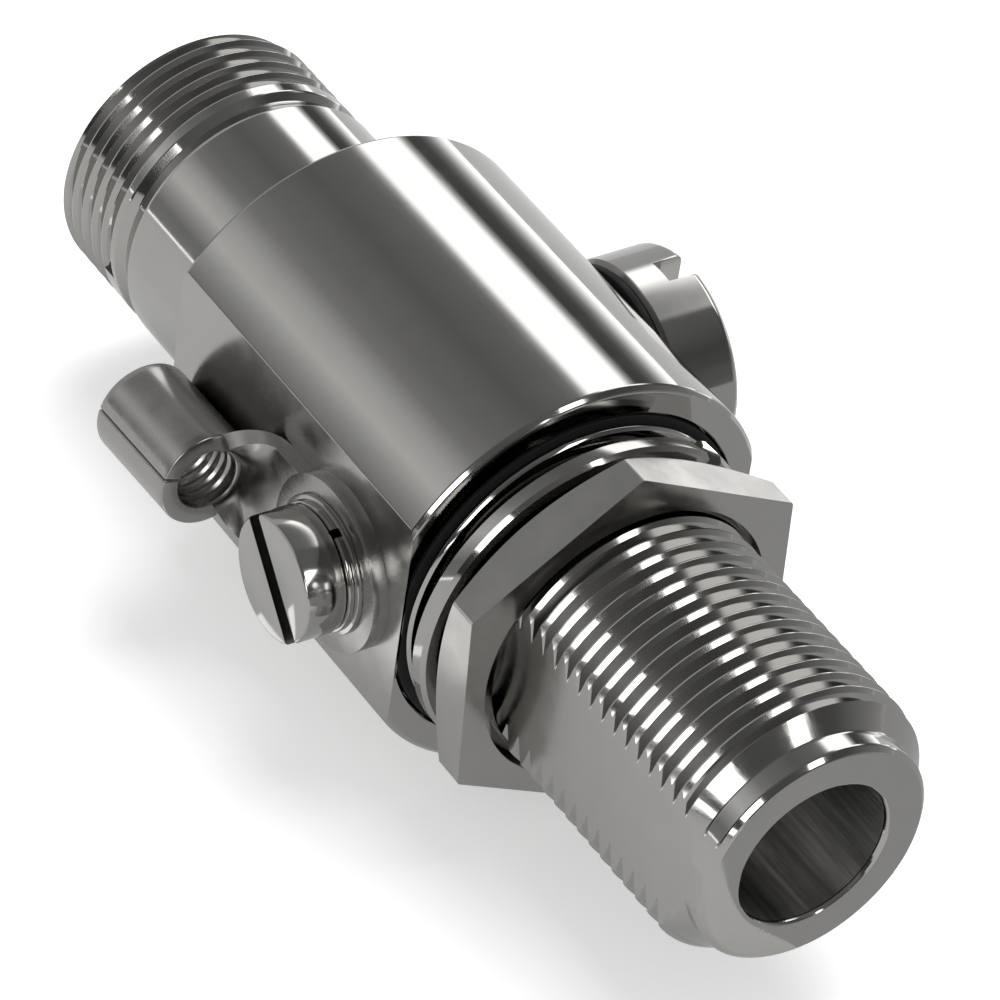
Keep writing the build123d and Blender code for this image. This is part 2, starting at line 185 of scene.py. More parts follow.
def angle_setting(name, description, degrees):
    return bpy.props.FloatProperty(
        name=name, description=description, default=math.radians(degrees), subtype="ANGLE",
    )


def colour_setting(name, description, hex_colour):
    return bpy.props.FloatVectorProperty(
        name=name, description=description, default=srgb(hex_colour)[:3], subtype="COLOR", size=3,
        min=0.0, max=1.0,
    )


class ArrestorThreads(bpy.types.PropertyGroup):
    jack_pitch: length_setting(
        "Jack thread pitch", "Distance from crest to crest on the nose, rear jack and nut",
        0.0254 / 24, 0.0005, 0.002,
    )
    jack_phase: angle_setting("Nose thread start", "Turn of the nose's thread about the main axis", 150)
    rear_phase: angle_setting("Rear thread start", "Turn of the rear jack's thread about the main axis", 38)
    cap_pitch: length_setting(
        "Cap thread pitch", "Pitch of the thread on the cap's spigot", 0.001, 0.0005, 0.002
    )
    screw_pitch: length_setting(
        "Screw thread pitch", "Pitch of the ground screw's thread", 0.0007, 0.0004, 0.001
    )


class ArrestorEdges(bpy.types.PropertyGroup):
    turned: length_setting(
        "Turned edges", "Edge break left on turned and milled corners before plating", 0.00008, 0.0, 0.0003
    )
    stamped: length_setting(
        "Stamped edges", "Rounding of the ring terminal's stamped edges", 0.00026, 0.0, 0.0004
    )


class ArrestorFinish(bpy.types.PropertyGroup):
    nickel: colour_setting("Nickel", "Colour of the polished nickel plate", "#adaca9")
    tin: colour_setting("Tin", "Colour of the ring terminal's satin tin plate", "#a2a09e")


class ArrestorStage(bpy.types.PropertyGroup):
    floor: colour_setting("Floor", "Colour of the floor", "#e7e7e7")
    lamp: bpy.props.FloatProperty(
        name="Soft lamp", description="Power of the large soft lamp overhead",
        default=1.0, subtype="POWER", min=0.0, max=50.0,
    )


# Modelling helpers


def alone(obj):
    """Only this object selected and active."""
    if bpy.context.object and bpy.context.object.mode != "OBJECT":
        bpy.ops.object.mode_set(mode="OBJECT")
    bpy.ops.object.select_all(action="DESELECT")
    obj.select_set(True)
    bpy.context.view_layer.objects.active = obj


@contextlib.contextmanager
def editing(obj):
    """Edit mode on this object alone, with its whole mesh selected."""
    alone(obj)
    bpy.ops.object.mode_set(mode="EDIT")
    bpy.ops.mesh.select_all(action="SELECT")
    yield
    bpy.ops.object.mode_set(mode="OBJECT")


def modify(obj, kind, **settings):
    """Adds a modifier and applies it."""
    alone(obj)
    modifier = obj.modifiers.new(kind.title(), kind)
    if modifier is None:
        raise RuntimeError(f"{obj.name}: no modifier {kind}")
    for key, value in settings.items():
        setattr(modifier, key, value)
    bpy.ops.object.modifier_apply(modifier=modifier.name)


def boolean(obj, tool, operation="DIFFERENCE"):
    """Cuts, joins or crosses a piece with a tool, which is then removed."""
    before = len(obj.data.polygons)
    modify(obj, "BOOLEAN", operation=operation, solver="MANIFOLD", object=tool)
    if not obj.data.polygons:
        raise RuntimeError(f"{obj.name}: {operation} with {tool.name} left nothing of {before} faces")
    bpy.data.objects.remove(tool)


def outline(name, points):
    """A line drawn vertex by vertex from (radius, height) points in millimetres."""
    obj = plane(name, MM)
    obj.data.name = name
    spots = [Vector((r, 0, h)) * MM for r, h in points]
    with editing(obj):
        bpy.ops.mesh.select_mode(type="VERT")
        bpy.ops.mesh.select_all(action="SELECT")
        bpy.ops.mesh.merge(type="CENTER")
        bpy.ops.transform.translate(value=spots[0])
        for a, b in zip(spots, spots[1:]):
            bpy.ops.mesh.extrude_vertices_move(TRANSFORM_OT_translate={"value": b - a})
    return obj


def plane(name, size, height=0.0):
    """A square sheet at the given height over the origin."""
    if bpy.context.object and bpy.context.object.mode != "OBJECT":
        bpy.ops.object.mode_set(mode="OBJECT")
    bpy.ops.object.select_all(action="DESELECT")
    bpy.ops.mesh.primitive_plane_add(size=size, location=(0, 0, height))
    obj = bpy.context.object
    obj.name = name
    return obj


def close_up(obj, distance=1e-7):
    """Merges doubles and turns the faces outwards."""
    with editing(obj):
        bpy.ops.mesh.remove_doubles(threshold=distance)
        bpy.ops.mesh.normals_make_consistent(inside=False)


def turned(name, points, steps=STEPS):
    """A solid spun about Z from (radius, height) points, which end on the axis or are closed to a loop."""
    on_axis = points[0][0] == 0 and points[-1][0] == 0
    obj = outline(name, points if on_axis else points + [points[0]])
    with editing(obj):
        bpy.ops.mesh.remove_doubles(threshold=1e-8)
        bpy.ops.mesh.select_all(action="SELECT")
        bpy.ops.mesh.spin(steps=steps, angle=2 * math.pi, center=(0, 0, 0), axis=(0, 0, 1))
    close_up(obj)
    return obj


def ring(name, inner, outer, low, high, edge, steps=STEPS):
    """A turned ring with its edges broken; its outline starts halfway along the lower side."""
    middle = (inner + outer) / 2
    return turned(name, softened([
        (middle, low), (outer, low), (outer, high), (inner, high), (inner, low), (middle, low),
    ], edge)[:-1], steps)


def softened(points, radius):
    """The outline with each inner corner of over 20 degrees cut by a small two-step edge break."""
    out = []
    count = len(points)
    for i, point in enumerate(points):
        here = Vector(point)
        if i in (0, count - 1) or radius <= 0:
            out.append(point)
            continue
        before, after = Vector(points[i - 1]), Vector(points[i + 1])
        back, ahead = (before - here), (after - here)
        reach = min(radius, 0.4 * back.length, 0.4 * ahead.length)
        if here.x == 0 or back.normalized().dot(ahead.normalized()) < -0.94:
            out.append(point)
            continue
        a, b = here + back.normalized() * reach, here + ahead.normalized() * reach
        middle = (a + b) / 4 + here / 2
        out += [tuple(a), tuple(middle), tuple(b)]
    return out


def rounded(radius, top, edge, parts=5):
    """Outline points of a rounded top edge."""
    turns = [math.radians(90 * k / parts) for k in range(parts + 1)]
    return [(radius - edge * (1 - math.cos(a)), top - edge * (1 - math.sin(a))) for a in turns]


def mouth_edge(parts=6):
    """The rounded edge of a jack's bore, as (radius, depth) points."""
    edge = JACK_MOUTH_R - JACK_BORE_R
    turns = [math.radians(90 * k / parts) for k in range(parts + 1)]
    return [(JACK_MOUTH_R - edge * math.sin(a), edge * (1 - math.cos(a))) for a in turns]


def block(name, low, high):
    """A box between two corners, in millimetres in the piece's own frame."""
    size = [b - a for a, b in zip(low, high)]
    middle = [(a + b) / 2 * MM for a, b in zip(low, high)]
    bpy.ops.object.select_all(action="DESELECT")
    bpy.ops.mesh.primitive_cube_add(size=MM, location=middle, scale=size)
    obj = bpy.context.object
    obj.name = name
    bpy.ops.object.transform_apply(location=True, rotation=True, scale=True)
    return obj


def coil(name, section, pitch, low, high, phase, steps=STEPS):
    """A closed right-hand coil about Z: a section of (radius, height) points wound between two heights."""
    obj = outline(name, section + [section[0]])
    turns = (high - low) * MM / pitch
    with editing(obj):
        bpy.ops.mesh.remove_doubles(threshold=1e-8)
    wind(obj, turns, turns * pitch, max(3, round(turns * steps)))
    # the winding starts at the phase that the section has at height 0
    start = phase + 2 * math.pi * low * MM / pitch
    place(obj, Matrix.Rotation(start, 4, "Z") @ Matrix.Translation((0, 0, low * MM)))
    close_up(obj)
    return obj


def wind(obj, turns, rise, steps):
    """Sweeps a closed section about Z while it rises, and closes both ends."""
    modify(
        obj, "SCREW", axis="Z", angle=2 * math.pi * turns, screw_offset=rise, iterations=1,
        steps=steps, render_steps=steps, use_smooth_shade=False, use_merge_vertices=False,
    )
    with editing(obj):
        bpy.ops.mesh.fill_holes(sides=0)


def groove(major, pitch, reach=0.08):
    """Section of the groove between the crests of a 60 degree thread, drawn about height 0.

    Polishing has taken the crests down: widely on the groove's lower side, slightly on its upper one.
    """
    p = pitch / MM
    # all of these are shares of the pitch
    land, root, run = 0.49, 0.045, 0.19
    slight = (0.015, 0.07)
    shoulder = run * math.tan(math.radians(48))
    bottom = shoulder + (land - run - root) * math.tan(math.radians(60))
    section = [
        (-reach / p, -land), (0, -land), (shoulder, run - land), (bottom, -root),
        (bottom, root), (slight[0], land - slight[1]), (0, land), (-reach / p, land),
    ]
    return [(major - depth * p, h * p) for depth, h in section]


def ridge_room(minor, major, pitch, gap=0.045, reach=0.1):
    """Section of the groove in a threaded hole, which clears the crest of the thread that runs in it."""
    p = pitch / MM
    crest = 0.0625 * p + gap
    slope = math.tan(math.radians(30))
    inner = crest + (major - minor + gap + reach) * slope
    return [
        (minor - reach, -inner),
        (major + gap, -crest),
        (major + gap, crest),
        (minor - reach, inner),
    ]


def place(obj, matrix):
    """Moves the mesh itself, so that the object stays at the origin, unturned and unscaled."""
    alone(obj)
    obj.matrix_world = matrix @ obj.matrix_world
    bpy.ops.object.transform_apply(location=True, rotation=True, scale=True)


def pick_edges(obj, test):
    """Selects the edges, in edit mode's edge selection, whose two ends pass a test given in millimetres."""
    with editing(obj):
        bpy.ops.mesh.select_mode(type="EDGE")
        bpy.ops.mesh.select_all(action="DESELECT")
    verts = obj.data.vertices
    for edge in obj.data.edges:
        a, b = (verts[i].co / MM for i in edge.vertices)
        edge.select = test(a, b)
    bpy.ops.object.mode_set(mode="EDIT")


def bevel_edges(obj, width, test, segments=2):
    """Bevels the edges that pass the test."""
    pick_edges(obj, test)
    bpy.ops.mesh.bevel(offset=width, offset_type="OFFSET", segments=segments, profile=0.5, clamp_overlap=True)
    bpy.ops.object.mode_set(mode="OBJECT")


def finish(obj, body, node, materials, angle=30.0, crisp=None):
    """Shades a finished piece, gives it its materials, ties it to its body and hides its CAD node.

    The edges of the faces whose centre (in mm) and normal pass the crisp test stay sharp.
    """
    alone(obj)
    bpy.ops.object.shade_smooth_by_angle(angle=math.radians(angle))
    if crisp:
        faces = [face for face in obj.data.polygons if crisp(face.center / MM, face.normal)]
        keys = {key for face in faces for key in face.edge_keys}
        for edge in obj.data.edges:
            edge.use_edge_sharp = edge.use_edge_sharp or edge.key in keys
    modify(obj, "WEIGHTED_NORMAL", mode="FACE_AREA", weight=80, keep_sharp=True)
    obj.data.materials.clear()
    for material in materials:
        obj.data.materials.append(material)
    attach(obj, body)
    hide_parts(node)
    return obj


def paint_faces(obj, index, test):
    """Gives the faces whose centre (in mm) and normal pass the test the piece's material of that index."""
    for face in obj.data.polygons:
        if test(face.center / MM, face.normal):
            face.material_index = index


# Materials


def add(material, kind, links=(), **settings):
    """Adds a node: settings name its own properties or, as in_NAME or in_NUMBER, its inputs."""
    tree = material.node_tree
    node = tree.nodes.new(kind)
    for key, value in settings.items():
        if key.startswith("in_"):
            name = key[3:]
            socket = node.inputs[int(name)] if name.isdigit() else node.inputs[name.replace("_", " ")]
            socket.default_value = value
        else:
            setattr(node, key, value)
    for source, target in links:
        tree.links.new(source, node.inputs[target])
    return node


def new_material(name):
    material = bpy.data.materials.new(name)
    material.use_nodes = True
    material.node_tree.nodes.clear()
    return material


def round_coordinates(material, matrix):
    """Object coordinates, and the same as (height along an axis, radius, 0) for marks left by a lathe."""
    here = add(material, "ShaderNodeTexCoord").outputs["Object"]
    origin = tuple(-v for v in matrix.translation)
    centred = add(material, "ShaderNodeMapping", [(here, "Vector")], in_Location=origin).outputs[0]
    axis = tuple(matrix.to_3x3().col[2])
    height = add(material, "ShaderNodeVectorMath", [(centred, 0)], operation="DOT_PRODUCT", in_1=axis)
    across = add(material, "ShaderNodeVectorMath", [(centred, 0)], operation="CROSS_PRODUCT", in_1=axis)
    radius = add(material, "ShaderNodeVectorMath", [(across.outputs[0], 0)], operation="LENGTH")
    around = add(
        material, "ShaderNodeCombineXYZ", [(height.outputs["Value"], "X"), (radius.outputs["Value"], "Y")]
    )
    return here, around.outputs[0]


def surface(material, cloud, relief, colour, shades, roughness, links=(), **settings):
    """Joins a finish from noises, each given as (vector, grain size in mm, detail, roughness, distortion).

    The cloud moves the colour between two shades and the roughness between two values. The relief lists
    the noise, the strength and the depth in mm of each bump, the lowest one first.
    """
    fields = []
    for vector, size, detail, rough, distortion in [cloud] + [entry[0] for entry in relief]:
        fields.append(add(
            material, "ShaderNodeTexNoise", [(vector, "Vector")],
            in_Scale=1 / (size * MM), in_Detail=detail, in_Roughness=rough, in_Distortion=distortion,
        ).outputs["Fac"])
    normal = []
    for height, (_, strength, depth) in zip(fields[1:], relief):
        bump = add(
            material, "ShaderNodeBump", [(height, "Height")] + normal,
            in_Strength=strength, in_Distance=depth * MM,
        )
        normal = [(bump.outputs[0], "Normal")]
    rough = add(
        material, "ShaderNodeMapRange", [(fields[0], "Value")],
        in_From_Min=0.3, in_From_Max=0.7, in_To_Min=roughness[0], in_To_Max=roughness[1],
    )
    tint = add(
        material, "ShaderNodeMix", [(fields[0], "Factor")], data_type="RGBA",
        in_6=tuple(c * shades[0] for c in colour[:3]) + (1.0,),
        in_7=tuple(min(1, c * shades[1]) for c in colour[:3]) + (1.0,),
    )
    shader = add(
        material, "ShaderNodeBsdfPrincipled",
        [(tint.outputs[2], "Base Color"), (rough.outputs[0], "Roughness")] + normal + list(links), **settings,
    )
    add(material, "ShaderNodeOutputMaterial", [(shader.outputs[0], "Surface")])
    return material


def plated(name, matrix, colour, roughness, spread, marks, haze):
    """Nickel plate over turned brass: a mirror with fine tool marks round the axis and a faint haze.

    The marks of a finishing cut are about 0.05 mm apart, drawn at 0.12 mm so that they show.
    """
    material = new_material(name)
    here, around = round_coordinates(material, matrix)
    return surface(
        material, (here, 2.4, 6.0, 0.62, 0.3),
        [((here, 0.9, 2.0, 0.5, 0.0), haze, 0.01), ((around, 0.12, 3.0, 0.6, 0.0), marks, 0.002)],
        colour, (0.94, 1.05), (roughness - spread, roughness + spread), in_Metallic=1.0,
    )


def milled(name, colour, roughness):
    """Nickel plate over a milled face: straight cutter marks about 0.1 mm apart along X."""
    material = new_material(name)
    here = add(material, "ShaderNodeTexCoord").outputs["Object"]
    lines = add(material, "ShaderNodeMapping", [(here, "Vector")], in_Scale=(1.0, 12.0, 12.0))
    return surface(
        material, (here, 2.0, 6.0, 0.6, 0.0), [((lines.outputs[0], 1.2, 4.0, 0.6, 0.0), 0.22, 0.004)],
        colour, (0.92, 1.06), (roughness - 0.05, roughness + 0.06), in_Metallic=1.0,
    )


def satin(name, colour, roughness, grain, strength, metallic=1.0):
    """A dull surface with a fine even grain of the given size in millimetres."""
    material = new_material(name)
    here = add(material, "ShaderNodeTexCoord").outputs["Object"]
    return surface(
        material, (here, 9 * grain, 5.0, 0.6, 0.0), [((here, grain, 5.0, 0.65, 0.0), strength, 0.02)],
        colour, (0.86, 1.12), (roughness - 0.07, roughness + 0.08), in_Metallic=metallic,
    )


def bored(name, colour):
    """Nickel plate over a bored wall: fine rings smear the light along the bore. Streaks along the bore,
    painted into its colour from 0.2 to 1.5 times the nickel, are painted highlight and painted shade.
    """
    material = new_material(name)
    here = add(material, "ShaderNodeTexCoord").outputs["Object"]
    # painted highlight and shade: the colour runs in light and dark streaks along the bore, from 0.2 to 1.5
    # times the nickel
    painted_light_streaks = add(material, "ShaderNodeMapping", [(here, "Vector")], in_Scale=(0.04, 1.0, 1.0))
    tangent = add(material, "ShaderNodeTangent", direction_type="RADIAL", axis="X")
    return surface(
        material, (painted_light_streaks.outputs[0], 0.35, 4.0, 0.7, 0.0), [((here, 0.12, 3.0, 0.6, 0.0), 0.5, 0.004)],
        colour, (0.2, 1.5), (0.3, 0.42), [(tangent.outputs[0], "Tangent")],
        in_Metallic=1.0, in_Anisotropic=0.9, in_Anisotropic_Rotation=0.25,
    )


finishes = {}


def finish_of(name):
    """The named finish, made on first use."""
    if name in finishes:
        return finishes[name]
    settings = bpy.context.scene.arrestor_finish
    nickel, tin = tuple(settings.nickel), tuple(settings.tin)
    makers = {
        # bright nickel plate over turned brass: dark and white reflections, with marks round the axis
        "nickel_turned": lambda: plated("polished_nickel_turned", MAIN_AXIS, nickel, 0.07, 0.03, 0.04, 0.06),
        "nickel_thread": lambda: plated("polished_nickel_thread", MAIN_AXIS, nickel, 0.10, 0.04, 0.0, 0.16),
        "nickel_cap": lambda: plated("polished_nickel_cap", CAP_AXIS, nickel, 0.08, 0.03, 0.08, 0.05),
        "nickel_screw": lambda: plated("polished_nickel_screw", SCREW_AXIS, nickel, 0.10, 0.04, 0.10, 0.06),
        # the same plate over milled faces: straight cutter marks blur what they mirror
        "nickel_milled": lambda: milled("nickel_over_milling", nickel, 0.2),
        "nickel_hexagon": lambda: milled("nickel_over_hexagon", nickel, 0.2),
        # the same plate over a bored wall: fine rings across the light, which smear it along the bore, and
        # painted highlight and shade streaks along the bore in its colour
        "nickel_bored": lambda: bored("nickel_over_boring_painted_streaks", nickel),
        # spring steel with thin nickel: a little darker and rougher than the brass
        "spring_washer": lambda: plated(
            "nickel_on_spring_steel", MAIN_AXIS, tuple(c * 0.95 for c in nickel), 0.09, 0.04, 0.1, 0.1
        ),
        # tin plate over copper sheet: grey, satin, slightly pitted
        "tin": lambda: satin("satin_tin_plate", tin, 0.24, 0.22, 0.14),
        # nitrile rubber: black with a soft broad sheen
        "rubber": lambda: satin("black_nitrile_rubber", srgb("#090909"), 0.7, 0.15, 0.2, 0.0),
        # silver plate of the line conductor and contacts: bright and neutral
        "silver": lambda: plated("silver_plate", MAIN_AXIS, srgb("#dcdad4")[:3], 0.2, 0.05, 0.15, 0.05),
        # turned PTFE: white, waxy, faint tool rings
        "ptfe": lambda: satin("white_ptfe", srgb("#eeede8"), 0.45, 0.12, 0.12, 0.0),
        # alumina tube of the gas tube: white, glazed
        "ceramic": lambda: satin("white_alumina", srgb("#e9e4da"), 0.25, 0.3, 0.05, 0.0),
        # nickel iron electrodes: grey, smooth
        "electrode": lambda: satin("nickel_iron", srgb("#a9a6a0"), 0.3, 0.15, 0.08),
        # drawn spring wire: grey, bright
        "wire": lambda: satin("drawn_spring_wire", srgb("#9a9894"), 0.26, 0.1, 0.08),
    }
    finishes[name] = makers[name]()
    return finishes[name]


# Operators, one for each piece or group


class ARRESTOR_OT_main_body(bpy.types.Operator):
    """Barrel and threaded nose: turned, milled, drilled and threaded"""

    bl_idname = "arrestor.main_body"
    bl_label = "Main body"

    def execute(self, context):
        threads = context.scene.arrestor_threads
        edge = context.scene.arrestor_edges.turned / MM
        body = turned("arrestor_body", softened([
            (0, -BARREL_LENGTH),
            (BARREL_R - BARREL_REAR_EDGE, -BARREL_LENGTH),
            (BARREL_R, BARREL_REAR_EDGE - BARREL_LENGTH),
            (BARREL_R, -BARREL_PANEL_EDGE[1]),
            (BARREL_R - BARREL_PANEL_EDGE[0], 0),
            (SEAL_RECESS_R, 0),
            (SEAL_RECESS_R, -SEAL_RECESS_DEPTH),
            (JACK_THREAD_R, -SEAL_RECESS_DEPTH),
            (JACK_THREAD_R, NOSE_THREAD_END),
            (NOSE_LIP_R, NOSE_LIP_START),
            (NOSE_LIP_R, NOSE_LENGTH - NOSE_LIP_EDGE),
            (NOSE_LIP_R - 1.1 * NOSE_LIP_EDGE, NOSE_LENGTH),
            (0, NOSE_LENGTH),
        ], edge))
        # a thin wall closes the seal's recess where the ground flat would cut it open
        boolean(body, block(
            "recess_wall", (-GROUND_FLAT - 0.5, -RECESS_WALL_HALF, -SEAL_RECESS_DEPTH - 0.2),
            (RECESS_WALL - GROUND_FLAT, RECESS_WALL_HALF, -0.02),
        ), "UNION")
        # the flats of the barrel
        past = BARREL_R + 1
        for side, distance in ((1, CAP_FLAT), (-1, GROUND_FLAT)):
            low, high = sorted((side * distance, side * past))
            boolean(body, block("flat_cutter", (low, -past, -BARREL_LENGTH - 1), (high, past, 1)))
        bevel_edges(body, edge * MM, lambda a, b: all(
            abs(p.x - CAP_FLAT) < 0.01 or abs(p.x + GROUND_FLAT) < 0.01 for p in (a, b)
        ) and (a - b).length > 0.5 and abs(a.z - b.z) > 1)
        # the nose's thread, then the flat milled through it
        boolean(body, coil(
            "nose_groove", groove(JACK_THREAD_R, threads.jack_pitch), threads.jack_pitch, *NOSE_GROOVE_REACH,
            threads.jack_phase,
        ))
        boolean(body, block("key_cutter", (-JACK_THREAD_R - 1, -9, 0), (-NOSE_FLAT, 9, NOSE_LENGTH + 1)))
        # the coaxial bore, the spigot's seat, the gas tube's chamber and the screw's hole
        reference = NOSE_LENGTH - JACK_DEPTH
        stop_r, stop = BEAD_STOP
        boolean(body, turned("bore_cutter", [
            (0, NOSE_LENGTH + 1),
            (JACK_MOUTH_R, NOSE_LENGTH + 1),
        ] + [(r, NOSE_LENGTH - depth) for r, depth in mouth_edge()] + [
            (JACK_BORE_R, reference),
            (stop_r, reference),
            (stop_r, reference - stop),
            (LINE_BORE_R, reference - stop),
            (LINE_BORE_R, SPIGOT_LENGTH - BARREL_LENGTH),
            (SPIGOT_R + SPIGOT_ROOM, SPIGOT_LENGTH - BARREL_LENGTH),
            (SPIGOT_R + SPIGOT_ROOM, -BARREL_LENGTH - 1),
            (0, -BARREL_LENGTH - 1),
        ]))
        place(body, MAIN_AXIS)
        hole_r, hole_start = CHAMBER_THREAD
        chamber = turned("chamber_cutter", [
            (0, 0), (CHAMBER_R, 0), (CHAMBER_R, hole_start), (hole_r, hole_start), (hole_r, BARREL_R + 1.2),
            (0, BARREL_R + 1.2),
        ], 96)
        place(chamber, CAP_AXIS)
        boolean(body, chamber)
        hole = turned("screw_hole_cutter", SCREW_HOLE, 64)
        place(hole, SCREW_AXIS)
        boolean(body, hole)
        finish(body, "housing", "main_body", [
            finish_of("nickel_turned"), finish_of("nickel_milled"), finish_of("nickel_thread"),
            finish_of("nickel_bored"),
        ], 10, crisp=lambda c, n: abs(n.y) > 0.9999 and abs(c.y) > 5)
        paint_faces(body, 2, lambda c, n: 0 < c.x < NOSE_LIP_START and c.yz.length < JACK_THREAD_R)
        paint_faces(body, 3, lambda c, n: reference < c.x < NOSE_LENGTH - 0.3 and c.yz.length < BORE_FINISH_R)
        paint_faces(body, 1, lambda c, n: abs(n.y) > 0.999 and abs(c.y) > 5)
        return {"FINISHED"}


class ARRESTOR_OT_rear_jack(bpy.types.Operator):
    """Rear jack shell: turned, with its short thread and its bore"""

    bl_idname = "arrestor.rear_jack"
    bl_label = "Rear jack"

    def execute(self, context):
        threads = context.scene.arrestor_threads
        edge = context.scene.arrestor_edges.turned / MM
        end = -BARREL_LENGTH - REAR_LENGTH
        shell = turned("rear_jack", softened([
            (0, end),
            (REAR_LEAD[0], end),
            (JACK_THREAD_R, end + REAR_LEAD[1]),
            (JACK_THREAD_R, REAR_THREAD_END),
            REAR_RELIEF,
            REAR_BODY,
            (REAR_BODY[0], -BARREL_LENGTH),
            (SPIGOT_R, -BARREL_LENGTH),
            (SPIGOT_R, SPIGOT_LENGTH - BARREL_LENGTH),
            (0, SPIGOT_LENGTH - BARREL_LENGTH),
        ], edge))
        boolean(shell, coil(
            "rear_groove", groove(JACK_THREAD_R, threads.jack_pitch), threads.jack_pitch,
            end - 0.6, REAR_GROOVE_END, threads.rear_phase,
        ))
        reference = end + JACK_DEPTH
        stop_r, stop = BEAD_STOP
        boolean(shell, turned("bore_cutter", [
            (0, end - 1),
            (JACK_MOUTH_R, end - 1),
        ] + [(r, end + depth) for r, depth in mouth_edge()] + [
            (JACK_BORE_R, reference),
            (stop_r, reference),
            (stop_r, reference + stop),
            (LINE_BORE_R, reference + stop),
            (LINE_BORE_R, SPIGOT_LENGTH - BARREL_LENGTH + 1),
            (0, SPIGOT_LENGTH - BARREL_LENGTH + 1),
        ]))
        place(shell, MAIN_AXIS)
        finish(shell, "housing", "rear_jack_shell", [
            finish_of("nickel_turned"), finish_of("nickel_bored"),
        ], 10)
        paint_faces(shell, 1, lambda c, n: end + 0.3 < c.x < reference and c.yz.length < BORE_FINISH_R)
        return {"FINISHED"}


class ARRESTOR_OT_panel_nut(bpy.types.Operator):
    """Panel nut: hexagon with a turned bearing side and a real inner thread"""

    bl_idname = "arrestor.panel_nut"
    bl_label = "Panel nut"

    def execute(self, context):
        threads = context.scene.arrestor_threads
        edge = context.scene.arrestor_edges.turned
        bpy.ops.object.select_all(action="DESELECT")
        corner = NUT_ACROSS_FLATS / 2 / math.cos(math.radians(30))
        bpy.ops.mesh.primitive_cylinder_add(
            vertices=6, radius=corner * MM, depth=(NUT_FRONT - NUT_BACK) * MM,
            location=(0, 0, (NUT_BACK + NUT_FRONT) / 2 * MM), rotation=(0, 0, math.radians(NUT_TURN - 90)),
        )
        nut = bpy.context.object
        nut.name = "arrestor_nut"
        bpy.ops.object.transform_apply(location=True, rotation=True, scale=True)
        # a cylinder's first corner lies on Y, so the turn above puts one corner at NUT_TURN from X
        rise = (NUT_CORNER_R - NUT_BEARING_R) * math.tan(math.radians(30))
        blank = turned("nut_blank", [
            (0, NUT_BACK),
            (NUT_BEARING_R, NUT_BACK),
            (NUT_CORNER_R, NUT_BACK + rise),
            (NUT_CORNER_R, NUT_FRONT),
            (0, NUT_FRONT),
        ])
        boolean(nut, blank, "INTERSECT")
        minor = JACK_THREAD_R - 0.54 * threads.jack_pitch / MM
        mouth = JACK_THREAD_R + NUT_MOUTH_GAP
        run = mouth - minor
        boolean(nut, turned("nut_hole", [
            (0, NUT_BACK - 1),
            (mouth, NUT_BACK - 1),
            (mouth, NUT_BACK),
            (minor, NUT_BACK + 0.6 * run),
            (minor, NUT_FRONT - 0.6 * run),
            (mouth, NUT_FRONT),
            (mouth, NUT_FRONT + 1),
            (0, NUT_FRONT + 1),
        ]))
        # the nose's crests stand half a turn from its groove
        pitch = threads.jack_pitch
        boolean(nut, coil(
            "nut_groove", ridge_room(minor, JACK_THREAD_R, pitch), pitch, NUT_BACK - 1.2, NUT_FRONT + 1.2,
            threads.jack_phase + math.pi,
        ))
        bevel_edges(nut, 1.6 * edge, lambda a, b: (
            min(a.xy.length, b.xy.length) > 9.3 and (a - b).length > 1.5
        ))
        place(nut, MAIN_AXIS)
        finish(nut, "panel_nut", "panel_nut", [
            finish_of("nickel_hexagon"), finish_of("nickel_thread"),
        ])
        paint_faces(nut, 1, lambda c, n: abs(n.x) < 0.9 and c.yz.length < NUT_THREAD_FINISH_R)
        return {"FINISHED"}


class ARRESTOR_OT_panel_washers(bpy.types.Operator):
    """Flat washer, sprung split washer and rubber seal behind the nut"""

    bl_idname = "arrestor.panel_washers"
    bl_label = "Panel washers and seal"

    def execute(self, context):
        flat = turned("flat_washer", softened(FLAT_WASHER, 0.02)[:-1])
        place(flat, MAIN_AXIS)
        finish(flat, "panel_washers", "panel_flat_washer", [finish_of("nickel_turned")])

        outer = JACK_THREAD_R + SPRING_ROOM + SPRING_BAND
        mean = outer - SPRING_BAND / 2
        lean = math.radians(SPRING_LEAN)
        split = (SPRING_GAP / math.cos(lean) + SPRING_RISE * math.tan(lean)) / mean
        # a square section with its corners cut, which leans with the cut faces of the split
        across, high = SPRING_BAND / 2, SPRING_THICK / 2
        cut = SPRING_CORNER
        square = [(mean + x, z) for x, z in (
            (across - cut, -high), (across, cut - high), (across, high - cut), (across - cut, high),
            (cut - across, high), (-across, high - cut), (-across, cut - high), (cut - across, -high),
        )]
        spring = outline("split_washer", square + [square[0]])
        close_up(spring, 1e-8)
        for vertex in spring.data.vertices:
            # the section slides round the axis with its height, which slants the end faces
            height, radius = vertex.co.z, vertex.co.x
            turn = -height / MM * math.tan(lean) / mean
            vertex.co.x, vertex.co.y = radius * math.cos(turn), radius * math.sin(turn)
        wind(spring, split / (2 * math.pi) - 1, SPRING_RISE * MM, STEPS)
        close_up(spring, 1e-8)
        place(spring, MAIN_AXIS @ Matrix.Translation((0, 0, (SPRING_BACK + high) * MM)) @ Matrix.Rotation(
            math.radians(SPRING_TURN) - split / 2, 4, "Z"
        ))
        finish(spring, "panel_washers", "panel_lock_washer", [finish_of("spring_washer")], 20)

        seal = ring(
            "panel_seal_ring", JACK_THREAD_R + SEAL_ROOM, SEAL_RECESS_R - SEAL_ROOM,
            -SEAL_RECESS_DEPTH, SEAL_STANDS, 0.15,
        )
        boolean(seal, block("seal_trim", (-12, -6, -3), (RECESS_WALL - GROUND_FLAT + 0.02, 6, 1)))
        place(seal, MAIN_AXIS)
        finish(seal, "housing", "panel_seal", [finish_of("rubber")])
        return {"FINISHED"}


